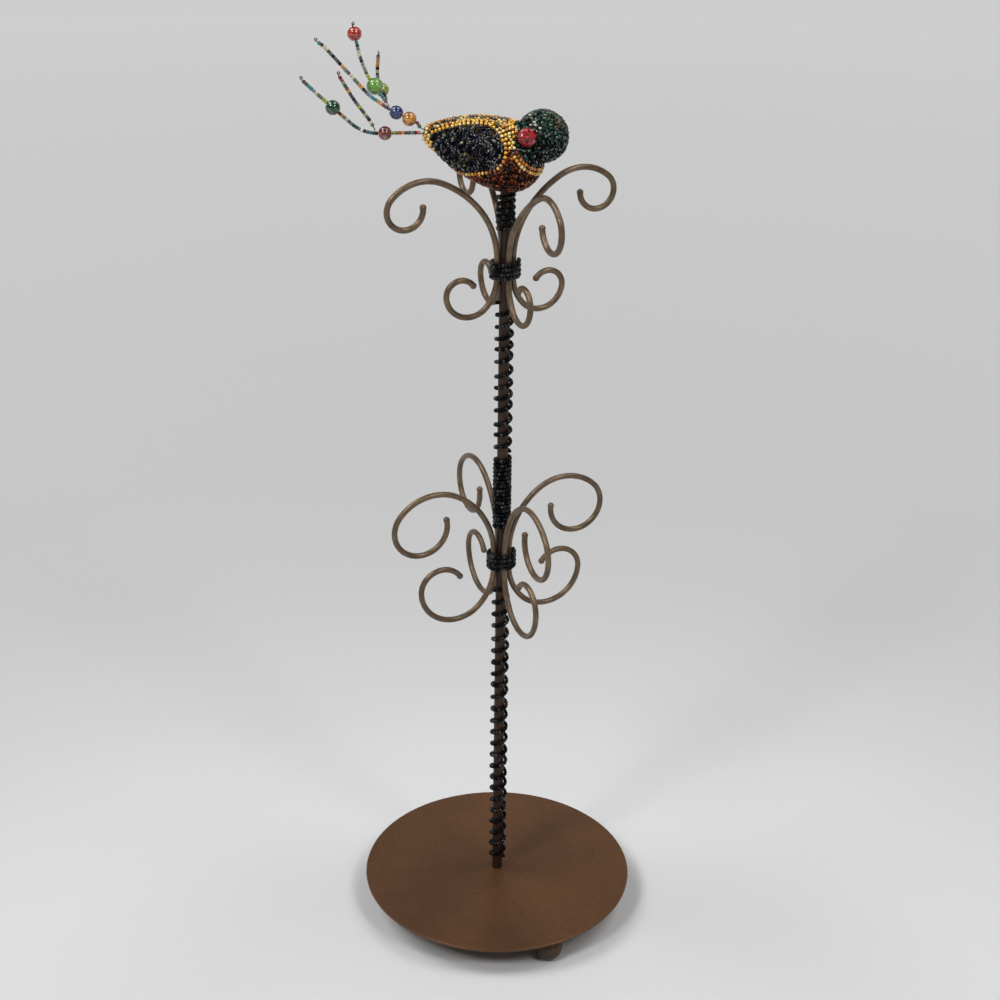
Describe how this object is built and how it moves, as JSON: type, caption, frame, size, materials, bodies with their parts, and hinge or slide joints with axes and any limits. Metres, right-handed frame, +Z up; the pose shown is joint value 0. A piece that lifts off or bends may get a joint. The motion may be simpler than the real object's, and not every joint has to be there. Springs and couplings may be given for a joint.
{
  "type": "jewellery stand",
  "caption": "Free-standing jewellery stand: a round foot plate, a bead-wound post with tiers of scroll hooks, and a beaded bird with a fanned tail on top.",
  "frame": {"origin": "on the post's axis, in the plane that the feet rest on", "axes": "+Z up along the post; hooks point along +X, +Y, -X and -Y; the bird's breast points 24 degrees from +X towards -Y and its tail the other way"},
  "size_m": [0.1667, 0.15, 0.4904],
  "materials": {
    "plate_bronze": "satin antique-bronze lacquer",
    "foot_bronze": "satin antique-bronze lacquer",
    "post_bronze": "satin dark bronze lacquer",
    "wire_bronze": "satin antique-bronze lacquer, bright on the bends",
    "zinc": "zinc-plated",
    "bird_core": "plain cast resin, hidden",
    "string_beads": "opaque dark seed beads, glossy",
    "green_beads": "dark green seed beads, glossy",
    "navy_bugle_beads": "dark blue and purple bugle beads, glossy",
    "gold_beads": "silver-lined gold seed beads, glossy",
    "copper_gold_beads": "silver-lined copper and gold seed beads, glossy",
    "copper_beads": "copper-red seed beads, glossy",
    "olive_beads": "olive seed beads, glossy",
    "red_glass": "cut red glass, glossy",
    "black_glass": "black glass, glossy",
    "tail_wire": "drawn wire",
    "mixed_seed_beads": "seed beads of mixed colours, glossy",
    "red_brown_glass": "streaked red-brown glass",
    "dark_green_glass": "streaked dark green glass",
    "amber_glass": "streaked amber glass",
    "blue_glass": "streaked blue glass",
    "light_green_glass": "streaked light green glass",
    "red_glass_bead": "streaked red glass",
    "yellow_green_glass": "streaked yellow-green glass"
  },
  "bodies": {
    "stand": {"base_plate": "plate_bronze", "post": "post_bronze", "post_washer": "zinc", "post_nut": "zinc", "bird_body": "bird_core", "bird_head": "bird_core", "beak": "red_glass", "eye_left": "black_glass", "eye_right": "black_glass", "tail_root_beads": "gold_beads", "wing_trim_right": "gold_beads", "wing_trim_left": "gold_beads", "neck_beads": "gold_beads", "bib_trim": "copper_gold_beads", "hood_beads": "green_beads", "wing_beads_right": "navy_bugle_beads", "wing_beads_left": "navy_bugle_beads", "back_beads": "olive_beads", "belly_beads": "copper_beads", "foot_front": "foot_bronze", "foot_right": "foot_bronze", "foot_left": "foot_bronze", "hook_upper_right": "wire_bronze", "hook_upper_back": "wire_bronze", "hook_upper_left": "wire_bronze", "hook_upper_front": "wire_bronze", "hook_lower_right": "wire_bronze", "hook_lower_back": "wire_bronze", "hook_lower_left": "wire_bronze", "hook_lower_front": "wire_bronze", "winding_top": "string_beads", "winding_middle": "string_beads", "winding_close": "string_beads", "winding_bottom": "string_beads", "binding_upper": "string_beads", "binding_lower": "string_beads", "tail_wire_low": "tail_wire", "tail_seeds_low": "mixed_seed_beads", "tail_wire_low_branch": "tail_wire", "tail_seeds_low_branch": "mixed_seed_beads", "tail_wire_high": "tail_wire", "tail_seeds_high": "mixed_seed_beads", "tail_wire_high_branch": "tail_wire", "tail_seeds_high_branch": "mixed_seed_beads", "tail_wire_top_branch": "tail_wire", "tail_seeds_top_branch": "mixed_seed_beads"},
    "red_brown_bead": {"glass_bead_red_brown": "red_brown_glass"},
    "dark_green_bead": {"glass_bead_dark_green": "dark_green_glass"},
    "amber_bead": {"glass_bead_amber": "amber_glass"},
    "blue_bead": {"glass_bead_blue": "blue_glass"},
    "light_green_bead": {"glass_bead_light_green": "light_green_glass"},
    "red_bead": {"glass_bead_red": "red_glass_bead"},
    "yellow_green_bead": {"glass_bead_yellow_green": "yellow_green_glass"}
  },
  "joints": [
    {"name": "red_brown_turn", "type": "hinge", "parent": "stand", "child": "red_brown_bead", "pos_m": [-0.05381, 0.02151, 0.44058], "axis": [-0.9563, 0.2924, 0], "continuous": true},
    {"name": "dark_green_turn", "type": "hinge", "parent": "stand", "child": "dark_green_bead", "pos_m": [-0.07709, 0.02863, 0.45309], "axis": [-0.7107, 0.2173, 0.6691], "continuous": true},
    {"name": "amber_turn", "type": "hinge", "parent": "stand", "child": "amber_bead", "pos_m": [-0.04249, 0.01866, 0.44714], "axis": [-0.8337, 0.3369, 0.4375], "continuous": true},
    {"name": "blue_turn", "type": "hinge", "parent": "stand", "child": "blue_bead", "pos_m": [-0.04816, 0.02095, 0.45011], "axis": [-0.8337, 0.3369, 0.4375], "continuous": true},
    {"name": "light_green_turn", "type": "hinge", "parent": "stand", "child": "light_green_bead", "pos_m": [-0.05582, 0.02893, 0.46146], "axis": [-0.4284, 0.5106, 0.7455], "continuous": true},
    {"name": "red_turn", "type": "hinge", "parent": "stand", "child": "red_bead", "pos_m": [-0.06268, 0.0371, 0.48495], "axis": [-0.162, 0.1931, 0.9677], "continuous": true},
    {"name": "yellow_green_turn", "type": "hinge", "parent": "stand", "child": "yellow_green_bead", "pos_m": [-0.05056, 0.03392, 0.4584], "axis": [0.0633, 0.9048, 0.421], "continuous": true}
  ]
}
